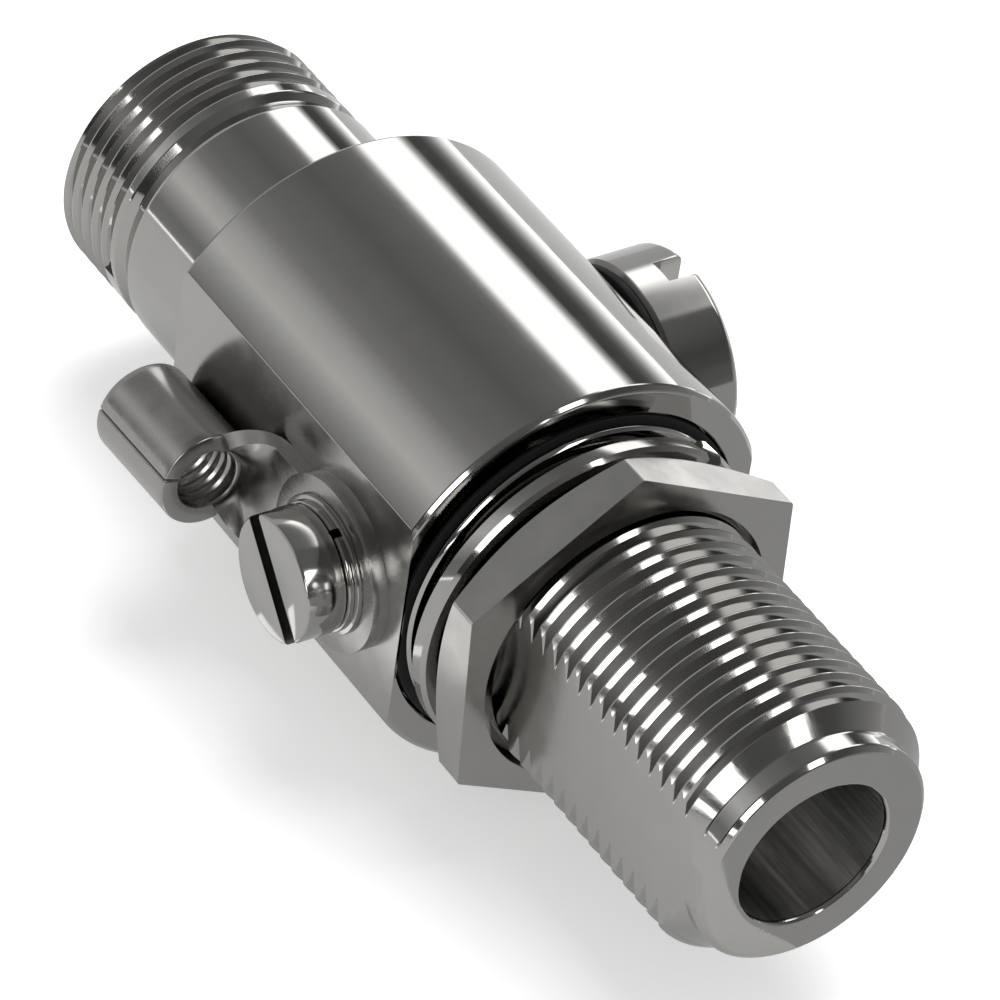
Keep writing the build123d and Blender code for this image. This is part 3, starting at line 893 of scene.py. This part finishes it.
class ARRESTOR_OT_gas_tube_cap(bpy.types.Operator):
    """Slotted cap of the gas tube's chamber, with its threaded spigot and seal ring"""

    bl_idname = "arrestor.gas_tube_cap"
    bl_label = "Gas tube cap"

    def execute(self, context):
        threads = context.scene.arrestor_threads
        edge = context.scene.arrestor_edges.turned
        head, height, rounding = CAP_HEAD
        spigot, depth = CAP_SPIGOT
        pocket, pocket_depth = CAP_POCKET
        half, slot_depth = CAP_SLOT
        top = CAP_UNDERSIDE + height
        bottom = CAP_FLAT - depth
        cap = turned("slotted_cap", softened([
            (0, bottom + pocket_depth),
            (pocket, bottom + pocket_depth),
            (pocket, bottom),
            (spigot - 0.3, bottom),
            (spigot, bottom + 0.3),
            (spigot, CAP_UNDERSIDE),
            (head - 0.3, CAP_UNDERSIDE),
            (head, CAP_UNDERSIDE + 0.3),
        ], edge / MM) + rounded(head, top, rounding) + [(0, top)])
        boolean(cap, block("slot_cutter", (-half, -7, top - slot_depth), (half, 7, top + 1)))
        bevel_edges(cap, edge, lambda a, b: all(
            p.z > top - slot_depth - 0.02 and abs(abs(p.x) - half) < 0.01 for p in (a, b)
        ) and not (abs(a.z - b.z) < 0.01 and a.z < top - slot_depth + 0.04))
        boolean(cap, coil(
            "cap_groove", groove(spigot, threads.cap_pitch, 0.05), threads.cap_pitch,
            bottom - 1.0, CAP_FLAT + 0.1, 0.0, 96,
        ))
        place(cap, CAP_AXIS)
        finish(cap, "cap", "gas_tube_cap", [finish_of("nickel_cap")])

        seal = ring("cap_seal", *CAP_SEAL, CAP_FLAT, CAP_UNDERSIDE, 0.12)
        place(seal, CAP_AXIS)
        finish(seal, "cap_ring", "cap_seal_ring", [finish_of("rubber")])
        return {"FINISHED"}


class ARRESTOR_OT_ground_screw(bpy.types.Operator):
    """Slotted ground screw with its split washer and flat washer"""

    bl_idname = "arrestor.ground_screw"
    bl_label = "Ground screw"

    def execute(self, context):
        threads = context.scene.arrestor_threads
        edge = context.scene.arrestor_edges.turned
        base, face, tip = SCREW_HEAD_BASE, SCREW_HEAD_FACE, SCREW_TIP
        half, depth = SCREW_SLOT
        shank = SCREW_THREAD_R
        screw = turned("slotted_screw", [
            (0, tip),
            (shank - 0.35, tip),
            (shank, tip + 0.35),
            (shank, base - 0.12),
            (shank + 0.12, base),
            (SCREW_HEAD_R - 0.25, base),
            (SCREW_HEAD_R - 0.07, base + 0.07),
            (SCREW_HEAD_R, base + 0.25),
        ] + rounded(SCREW_HEAD_R, face, 0.16) + [(0, face)], 128)
        slot = block("slot_cutter", (-5, -half, face - depth), (5, half, face + 1))
        place(slot, Matrix.Rotation(math.radians(SCREW_SLOT_TURN), 4, "Z"))
        boolean(screw, slot)
        turn = Matrix.Rotation(math.radians(-SCREW_SLOT_TURN), 3, "Z")
        bevel_edges(screw, edge, lambda a, b: all(
            p.z > face - depth - 0.02 and abs(abs((turn @ p).y) - half) < 0.01 for p in (a, b)
        ) and not (abs(a.z - b.z) < 0.01 and a.z < face - depth + 0.05))
        boolean(screw, coil(
            "screw_groove", groove(shank, threads.screw_pitch, 0.04), threads.screw_pitch,
            tip - 0.6, base - 1.5, 0.0, 64,
        ))
        place(screw, SCREW_AXIS)
        finish(screw, "screw", "ground_screw", [finish_of("nickel_screw")])

        outer, low, high = SCREW_FLAT_WASHER
        washer = ring("small_flat_washer", SCREW_WASHER_HOLE, outer, low, high, 0.07, 128)
        place(washer, SCREW_AXIS)
        finish(washer, "screw_washer", "ground_flat_washer", [finish_of("nickel_screw")], 40)

        outer, low, high = SCREW_LOCK_WASHER
        spring = ring("small_split_washer", SCREW_WASHER_HOLE, outer, low, high, 0.08, 128)
        gap = block("gap_cutter", (0, -0.25, low - 1), (5, 0.25, high + 1))
        place(gap, Matrix.Rotation(math.radians(SCREW_SPLIT_TURN), 4, "Z"))
        boolean(spring, gap)
        place(spring, SCREW_AXIS)
        finish(spring, "screw_washer", "ground_lock_washer", [finish_of("spring_washer")], 40)
        return {"FINISHED"}


def neck_curvature(s):
    """Curvature of the ring terminal's sheet at a place along it, per millimetre; 0 where it is flat."""
    share = min(max((s - LUG_NECK_FLAT) / (LUG_BARREL_START - LUG_NECK_FLAT), 0.0), 1.0)
    curvature = share ** 2 / LUG_BARREL_R
    return curvature if curvature >= 1e-4 else 0.0


def terminal_point(s, w):
    """A point of the sheet's lower face, s along the terminal and w across the flat sheet, in millimetres."""
    curvature = neck_curvature(s)
    if not curvature:
        return Vector((s, w, 0)) * MM
    radius = 1 / curvature
    return Vector((s, radius * math.sin(w / radius), radius - radius * math.cos(w / radius))) * MM


def neck_side(point):
    """How far across the flat sheet a point of the bent neck lies, in millimetres."""
    curvature = neck_curvature(point.x)
    return math.atan2(point.y, 1 / curvature - point.z) / curvature if curvature else point.y


def bent_sheet(name, s_from, s_to, rows, w_from, w_to, columns):
    """A grid laid along the terminal's bent lower face."""
    bpy.ops.object.select_all(action="DESELECT")
    bpy.ops.mesh.primitive_grid_add(x_subdivisions=rows, y_subdivisions=columns, size=2)
    obj = bpy.context.object
    obj.name = name
    for vertex in obj.data.vertices:
        s = s_from + (s_to - s_from) * (vertex.co.x + 1) / 2
        w = w_from + (w_to - w_from) * (vertex.co.y + 1) / 2
        vertex.co = terminal_point(s, w)
    return obj


class ARRESTOR_OT_ring_terminal(bpy.types.Operator):
    """Ring terminal: stamped eye, neck curling into a trough, and rolled barrel"""

    bl_idname = "arrestor.ring_terminal"
    bl_label = "Ring terminal"

    def execute(self, context):
        edge = context.scene.arrestor_edges.stamped
        # the eye: a disc joined to the neck's root, with its hole
        eye = turned("ring_terminal", [(0, 0), (LUG_RING_R, 0), (LUG_RING_R, LUG_SHEET), (0, LUG_SHEET)], 128)
        half = LUG_NECK_WIDTH / 2
        boolean(eye, block("neck_root", (0, -half, 0), (LUG_NECK_FLAT, half, LUG_SHEET)), "UNION")
        boolean(eye, turned("eye_hole", [(0, -1), (LUG_HOLE_R, -1), (LUG_HOLE_R, 2), (0, 2)], 96))
        bevel_edges(eye, edge, lambda a, b: (
            abs(a.z - b.z) < 0.01 and min(a.xy.length, b.xy.length) > 2.0
            and not (a.x > LUG_NECK_FLAT - 0.01 and b.x > LUG_NECK_FLAT - 0.01)
        ), 3)

        # the neck and the barrel: sheets curled towards the side of the screw's head
        neck = bent_sheet("neck", LUG_NECK_FLAT - 0.02, LUG_BARREL_START + 0.12, 30, -half, half, 28)
        modify(neck, "SOLIDIFY", thickness=LUG_SHEET * MM, offset=1.0, use_even_offset=False)
        bevel_edges(neck, edge, lambda a, b: (
            abs(a.x - b.x) > 0.05 and all(abs(abs(neck_side(p)) - half) < 0.02 for p in (a, b))
        ), 3)
        reach = math.pi * LUG_BARREL_R - LUG_SEAM_GAP
        seam = math.radians(LUG_SEAM_TURN) * LUG_BARREL_R
        barrel = bent_sheet("barrel", LUG_BARREL_START, LUG_BARREL_END, 14, seam - reach, seam + reach, 120)
        modify(barrel, "SOLIDIFY", thickness=LUG_BARREL_SHEET * MM, offset=1.0, use_even_offset=False)
        modify(barrel, "BEVEL", width=edge, segments=3, limit_method="ANGLE", angle_limit=math.radians(50))
        close_up(barrel, 1e-8)
        # ridges rolled inside the barrel to grip the wire: radius and length of each one's section
        inner = LUG_BARREL_R - LUG_BARREL_SHEET
        section = [(inner + 0.02, 0), (inner + 0.2, 0.14), (inner + 0.2, 0.26), (inner + 0.02, 0.4)]
        for s in LUG_RIDGES:
            points = [(0, s)] + [(r, s + along) for r, along in section] + [(0, s + 0.4)]
            ridge = turned("ridge_cutter", points, 96)
            place(ridge, axes((0, 1, 0), (0, 0, 1), (1, 0, 0), (0, 0, LUG_BARREL_R)))
            boolean(barrel, ridge)
        for part in (eye, neck):
            close_up(part, 1e-8)
        boolean(eye, neck, "UNION")
        boolean(eye, barrel, "UNION")
        place(eye, LUG_PLACE)
        finish(eye, "lug", "ground_lug", [finish_of("tin")], 35)
        return {"FINISHED"}


class ARRESTOR_OT_inner_parts(bpy.types.Operator):
    """Contacts, beads, conductor, gas tube and spring: the CAD pieces with their own finishes"""

    bl_idname = "arrestor.inner_parts"
    bl_label = "Inner parts"

    def execute(self, context):
        given = {
            "front_contact": "silver", "rear_contact": "silver", "line_conductor": "silver",
            "front_insulator": "ptfe", "rear_insulator": "ptfe", "gas_tube_ceramic": "ceramic",
            "gas_tube_inner_electrode": "electrode", "gas_tube_outer_electrode": "electrode",
            "gas_tube_spring": "wire",
        }
        for node, finish_name in given.items():
            obj = nodes[node]
            if not obj.material_slots:
                raise RuntimeError(f"{node} has no material slot")
            for slot in obj.material_slots:
                slot.material = finish_of(finish_name)
        return {"FINISHED"}


class ARRESTOR_OT_stage(bpy.types.Operator):
    """Floor, soft lamp, white surroundings, the tent and cards that the plate mirrors, and the camera"""

    bl_idname = "arrestor.stage"
    bl_label = "Stage"

    def execute(self, context):
        scene = context.scene
        settings = scene.arrestor_stage
        scene.view_settings.view_transform = "Standard"

        camera = bpy.data.objects.new("camera", bpy.data.cameras.new("camera"))
        scene.collection.objects.link(camera)
        camera.location = Vector(CAMERA_PLACE) * MM
        camera.rotation_euler = [math.radians(angle) for angle in CAMERA_TURN]
        camera.data.sensor_width = 36.0
        camera.data.lens = 36.0 * CAMERA_FOCAL
        camera.data.clip_start, camera.data.clip_end = CAMERA_CLIP
        scene.camera = camera

        # the floor: pale and matt, lifted to white for the camera and to grey for what mirrors it
        floor = plane("floor", 8.0, FLOOR)
        bpy.ops.object.transform_apply(location=True, rotation=True, scale=True)
        paper = new_material("white_paper")
        seen = self.seen(paper, 0.45, 0.36)
        grain = add(paper, "ShaderNodeTexNoise", in_Scale=400.0, in_Detail=3.0)
        shade = add(
            paper, "ShaderNodeMapRange", [(grain.outputs["Fac"], "Value")],
            in_From_Min=0.3, in_From_Max=0.7, in_To_Min=0.99, in_To_Max=1.01,
        )
        path = add(paper, "ShaderNodeLightPath")
        dim = add(
            paper, "ShaderNodeMapRange", [(path.outputs["Is Glossy Ray"], "Value")],
            in_To_Min=1.0, in_To_Max=0.5,
        )
        paler = add(
            paper, "ShaderNodeMath", [(shade.outputs[0], 0), (dim.outputs[0], 1)], operation="MULTIPLY"
        )
        tone = add(
            paper, "ShaderNodeVectorMath", [(paler.outputs[0], 0)], operation="MULTIPLY",
            in_1=tuple(settings.floor),
        )
        matt = add(paper, "ShaderNodeBsdfDiffuse", [(tone.outputs[0], "Color")])
        glow = add(paper, "ShaderNodeEmission", [(seen, "Strength")], in_Color=(1, 1, 1, 1))
        both = add(paper, "ShaderNodeAddShader", [(matt.outputs[0], 0), (glow.outputs[0], 1)])
        add(paper, "ShaderNodeOutputMaterial", [(both.outputs[0], "Surface")])
        floor.data.materials.append(paper)

        # the surroundings: white for the camera and for mirrored rays, a soft grey light for the rest
        world = bpy.data.worlds.new("studio")
        scene.world = world
        world.use_nodes = True
        world.node_tree.nodes.clear()
        level = self.seen(world, 1.0, 1.0, 0.55)
        back = add(world, "ShaderNodeBackground", [(level, "Strength")], in_Color=(1, 1, 1, 1))
        add(world, "ShaderNodeOutputWorld", [(back.outputs[0], "Surface")])

        self.lamp("soft_lamp", LAMP_PLACE, LAMP_SIZE, settings.lamp * 3.0)
        self.tent()
        for card in CARDS:
            self.card(*card)
        for card in FLOOR_CARDS:
            self.floor_card(*card)
        return {"FINISHED"}

    @staticmethod
    def seen(owner, to_camera, mirrored, rest=0.0):
        """A strength for camera rays, another for mirrored and transmitted rays, and one for the rest."""
        path = add(owner, "ShaderNodeLightPath")
        shiny = add(
            owner, "ShaderNodeMath",
            [(path.outputs["Is Glossy Ray"], 0), (path.outputs["Is Transmission Ray"], 1)],
            operation="MAXIMUM",
        )
        level = add(owner, "ShaderNodeMix", [(shiny.outputs[0], "Factor")], in_2=rest, in_3=mirrored)
        final = add(
            owner, "ShaderNodeMix", [(path.outputs["Is Camera Ray"], "Factor"), (level.outputs[0], 2)],
            in_3=to_camera,
        )
        return final.outputs[0]

    def tent(self):
        """A grey fabric tent over the table, lighter and darker in bands, which only mirrored rays see."""
        bpy.ops.object.select_all(action="DESELECT")
        bpy.ops.mesh.primitive_uv_sphere_add(segments=96, ring_count=48, radius=TENT_R)
        tent = bpy.context.object
        tent.name = "tent"
        bpy.ops.object.mode_set(mode="EDIT")
        bpy.ops.mesh.select_all(action="SELECT")
        bpy.ops.mesh.bisect(plane_co=(0, 0, FLOOR + 0.0005), plane_no=(0, 0, 1), clear_inner=True)
        bpy.ops.object.mode_set(mode="OBJECT")
        cloth = new_material("tent_cloth")
        coordinates = add(cloth, "ShaderNodeTexCoord")
        parts = add(cloth, "ShaderNodeSeparateXYZ", [(coordinates.outputs["Object"], "Vector")])
        turn = add(
            cloth, "ShaderNodeMath", [(parts.outputs["Z"], 0), (parts.outputs["Y"], 1)], operation="ARCTAN2"
        )
        share = add(
            cloth, "ShaderNodeMapRange", [(turn.outputs[0], "Value")], in_From_Min=0.0, in_From_Max=math.pi
        )
        # the bands as ramps of grey, held as shares of the tent's brightest level
        ramps = []
        for bands in (TENT_BANDS, TENT_FRONT):
            ramp = add(cloth, "ShaderNodeValToRGB", [(share.outputs[0], "Fac")])
            elements = ramp.color_ramp.elements
            elements.remove(elements[1])
            for k, (phi, level) in enumerate(bands):
                element = elements[0] if k == 0 else elements.new(phi / 180)
                element.position = phi / 180
                element.color = (level / TENT_TOP,) * 3 + (1.0,)
            ramps.append(ramp.outputs["Color"])
        over, front = ramps
        # from the bands over the arrestor to those ahead of it, then to the plain ends
        grey = over
        for start, full, end in ((0.08, 0.18, None), (0.72, 0.9, TENT_AHEAD), (-0.7, -0.78, TENT_BEHIND)):
            reach = add(
                cloth, "ShaderNodeMapRange", [(parts.outputs["X"], "Value")], interpolation_type="SMOOTHSTEP",
                in_From_Min=start * TENT_R, in_From_Max=full * TENT_R,
            )
            links = [(reach.outputs[0], "Factor"), (grey, 6)]
            if end is None:
                mix = add(cloth, "ShaderNodeMix", links + [(front, 7)], data_type="RGBA")
            else:
                plain = (end / TENT_TOP,) * 3 + (1.0,)
                mix = add(cloth, "ShaderNodeMix", links, data_type="RGBA", in_7=plain)
            grey = mix.outputs[2]
        glow = add(cloth, "ShaderNodeEmission", [(grey, "Color")], in_Strength=TENT_TOP)
        add(cloth, "ShaderNodeOutputMaterial", [(glow.outputs[0], "Surface")])
        tent.data.materials.append(cloth)
        self.hide_from_view(tent)

    @staticmethod
    def hide_from_view(obj):
        """Leaves a card or the tent only in what mirrors it."""
        obj.visible_camera = False
        obj.visible_diffuse = False
        obj.visible_shadow = False

    @staticmethod
    def lamp(name, where, size, power):
        """A round soft lamp aimed at the origin, which nothing mirrors."""
        light = bpy.data.lights.new(name, "AREA")
        light.shape = "DISK"
        light.size = size
        light.energy = power
        obj = bpy.data.objects.new(name, light)
        bpy.context.scene.collection.objects.link(obj)
        obj.location = where
        obj.rotation_euler = (-Vector(where)).to_track_quat("-Z", "Y").to_euler()
        obj.visible_camera = False
        obj.visible_glossy = False

    def sheet(self, name, matrix, level):
        """A plain sheet of one brightness, placed by a matrix, which shows only in what mirrors it."""
        sheet = plane(name, 1.0)
        place(sheet, matrix)
        material = new_material(name)
        glow = add(material, "ShaderNodeEmission", in_Color=(1, 1, 1, 1), in_Strength=level)
        add(material, "ShaderNodeOutputMaterial", [(glow.outputs[0], "Surface")])
        sheet.data.materials.append(material)
        self.hide_from_view(sheet)

    def card(self, name, turn, half_turn, distance, low, high, level):
        """A strip along X that faces the main axis."""
        turn = math.radians(turn)
        away = Vector((0, math.cos(turn), math.sin(turn)))
        side = Vector((1, 0, 0))
        height = 2 * distance * math.tan(math.radians(half_turn))
        matrix = Matrix((side * (high - low), away.cross(side) * height, away)).transposed().to_4x4()
        matrix.translation = away * distance + side * (low + high) / 2
        self.sheet(name, matrix, level)

    def floor_card(self, name, low, high, level):
        """A card that lies on the floor."""
        matrix = Matrix.Diagonal((high[0] - low[0], high[1] - low[1], 1.0, 1.0))
        matrix.translation = ((low[0] + high[0]) / 2, (low[1] + high[1]) / 2, FLOOR + 0.00005)
        self.sheet(name, matrix, level)


FLOOR = -BARREL_R * MM - 0.00001
LAMP_PLACE = (-0.10, 0.16, 0.62)
LAMP_SIZE = 0.5
TENT_R = 0.55
TENT_TOP = 2.5         # brightest level that the tent's ramps can hold

# The tent above and behind the arrestor: degrees round the main axis from +Y towards +Z, and brightness
# there, set so that the barrel and the nose mirror light and dark bands like those that the photo shows
TENT_BANDS = [
    (0, 2.5), (5, 1.5), (9, 0.75), (13, 0.3), (18, 0.12), (26, 0.09), (29.5, 0.7), (33.5, 2.5), (54, 2.5),
    (57.5, 0.7), (60.5, 0.32), (66, 0.25), (86, 0.19), (98, 0.24), (110, 0.27), (122, 0.36), (134, 0.68),
    (146, 0.86), (157, 0.54), (168, 0.3), (180, 0.34),
]
# The tent ahead of the arrestor, in the same way
TENT_FRONT = [
    (0, 0.45), (9, 0.32), (20, 0.22), (32, 0.12), (46, 0.1), (60, 0.2), (82, 0.18), (125, 0.17), (152, 0.24),
    (157, 0.1), (171, 0.06), (180, 0.06),
]
TENT_AHEAD = 0.12      # brightness of the tent's end on the camera's side
TENT_BEHIND = 0.6      # and of its other end

# name, turn and half height in degrees round the main axis, distance from it in metres, reach along X in
# metres and brightness
CARDS = [
    ("softbox_high", 61.0, 7.0, 0.20, 0.185, 0.460, 6.0),
    ("softbox_left", 145.0, 15.5, 0.20, 0.230, 0.490, 6.0),
    ("softbox_low_left", 175.5, 3.2, 0.20, 0.240, 0.400, 4.0),
]
# name, lowest and highest corner on the floor in metres, brightness
FLOOR_CARDS = [
    ("grey_sheet_front", (0.004, 0.004), (0.40, 0.40), 0.50),
    ("white_sheet_back", (-0.50, 0.045), (0.004, 0.50), 0.80),
    ("white_sheet_left", (-0.0145, -0.0193), (-0.005, -0.0165), 1.6),
]


class ARRESTOR_PT_panel(bpy.types.Panel):
    """Lists the pieces and their settings"""

    bl_idname = "ARRESTOR_PT_panel"
    bl_label = "Coax lightning arrestor"
    bl_space_type = "VIEW_3D"
    bl_region_type = "UI"
    bl_category = "Arrestor"

    def draw(self, context):
        for group in ("threads", "edges", "finish", "stage"):
            box = self.layout.box()
            box.label(text=group.title())
            settings = getattr(context.scene, f"arrestor_{group}")
            for name in settings.__annotations__:
                box.prop(settings, name)
        for operator in OPERATORS:
            self.layout.operator(operator.bl_idname)


OPERATORS = (
    ARRESTOR_OT_main_body,
    ARRESTOR_OT_rear_jack,
    ARRESTOR_OT_panel_nut,
    ARRESTOR_OT_panel_washers,
    ARRESTOR_OT_gas_tube_cap,
    ARRESTOR_OT_ground_screw,
    ARRESTOR_OT_ring_terminal,
    ARRESTOR_OT_inner_parts,
    ARRESTOR_OT_stage,
)
GROUPS = {
    "arrestor_threads": ArrestorThreads,
    "arrestor_edges": ArrestorEdges,
    "arrestor_finish": ArrestorFinish,
    "arrestor_stage": ArrestorStage,
}


def register():
    for group in GROUPS.values():
        bpy.utils.register_class(group)
    for operator in OPERATORS:
        bpy.utils.register_class(operator)
    bpy.utils.register_class(ARRESTOR_PT_panel)
    for name, group in GROUPS.items():
        setattr(bpy.types.Scene, name, bpy.props.PointerProperty(type=group))


def unregister():
    for name in GROUPS:
        delattr(bpy.types.Scene, name)
    bpy.utils.unregister_class(ARRESTOR_PT_panel)
    for operator in reversed(OPERATORS):
        bpy.utils.unregister_class(operator)
    for group in reversed(list(GROUPS.values())):
        bpy.utils.unregister_class(group)


def main():
    register()
    bpy.ops.arrestor.main_body()
    bpy.ops.arrestor.rear_jack()
    bpy.ops.arrestor.panel_nut()
    bpy.ops.arrestor.panel_washers()
    bpy.ops.arrestor.gas_tube_cap()
    bpy.ops.arrestor.ground_screw()
    bpy.ops.arrestor.ring_terminal()
    bpy.ops.arrestor.inner_parts()
    bpy.ops.arrestor.stage()


if __name__ == "__main__":
    main()
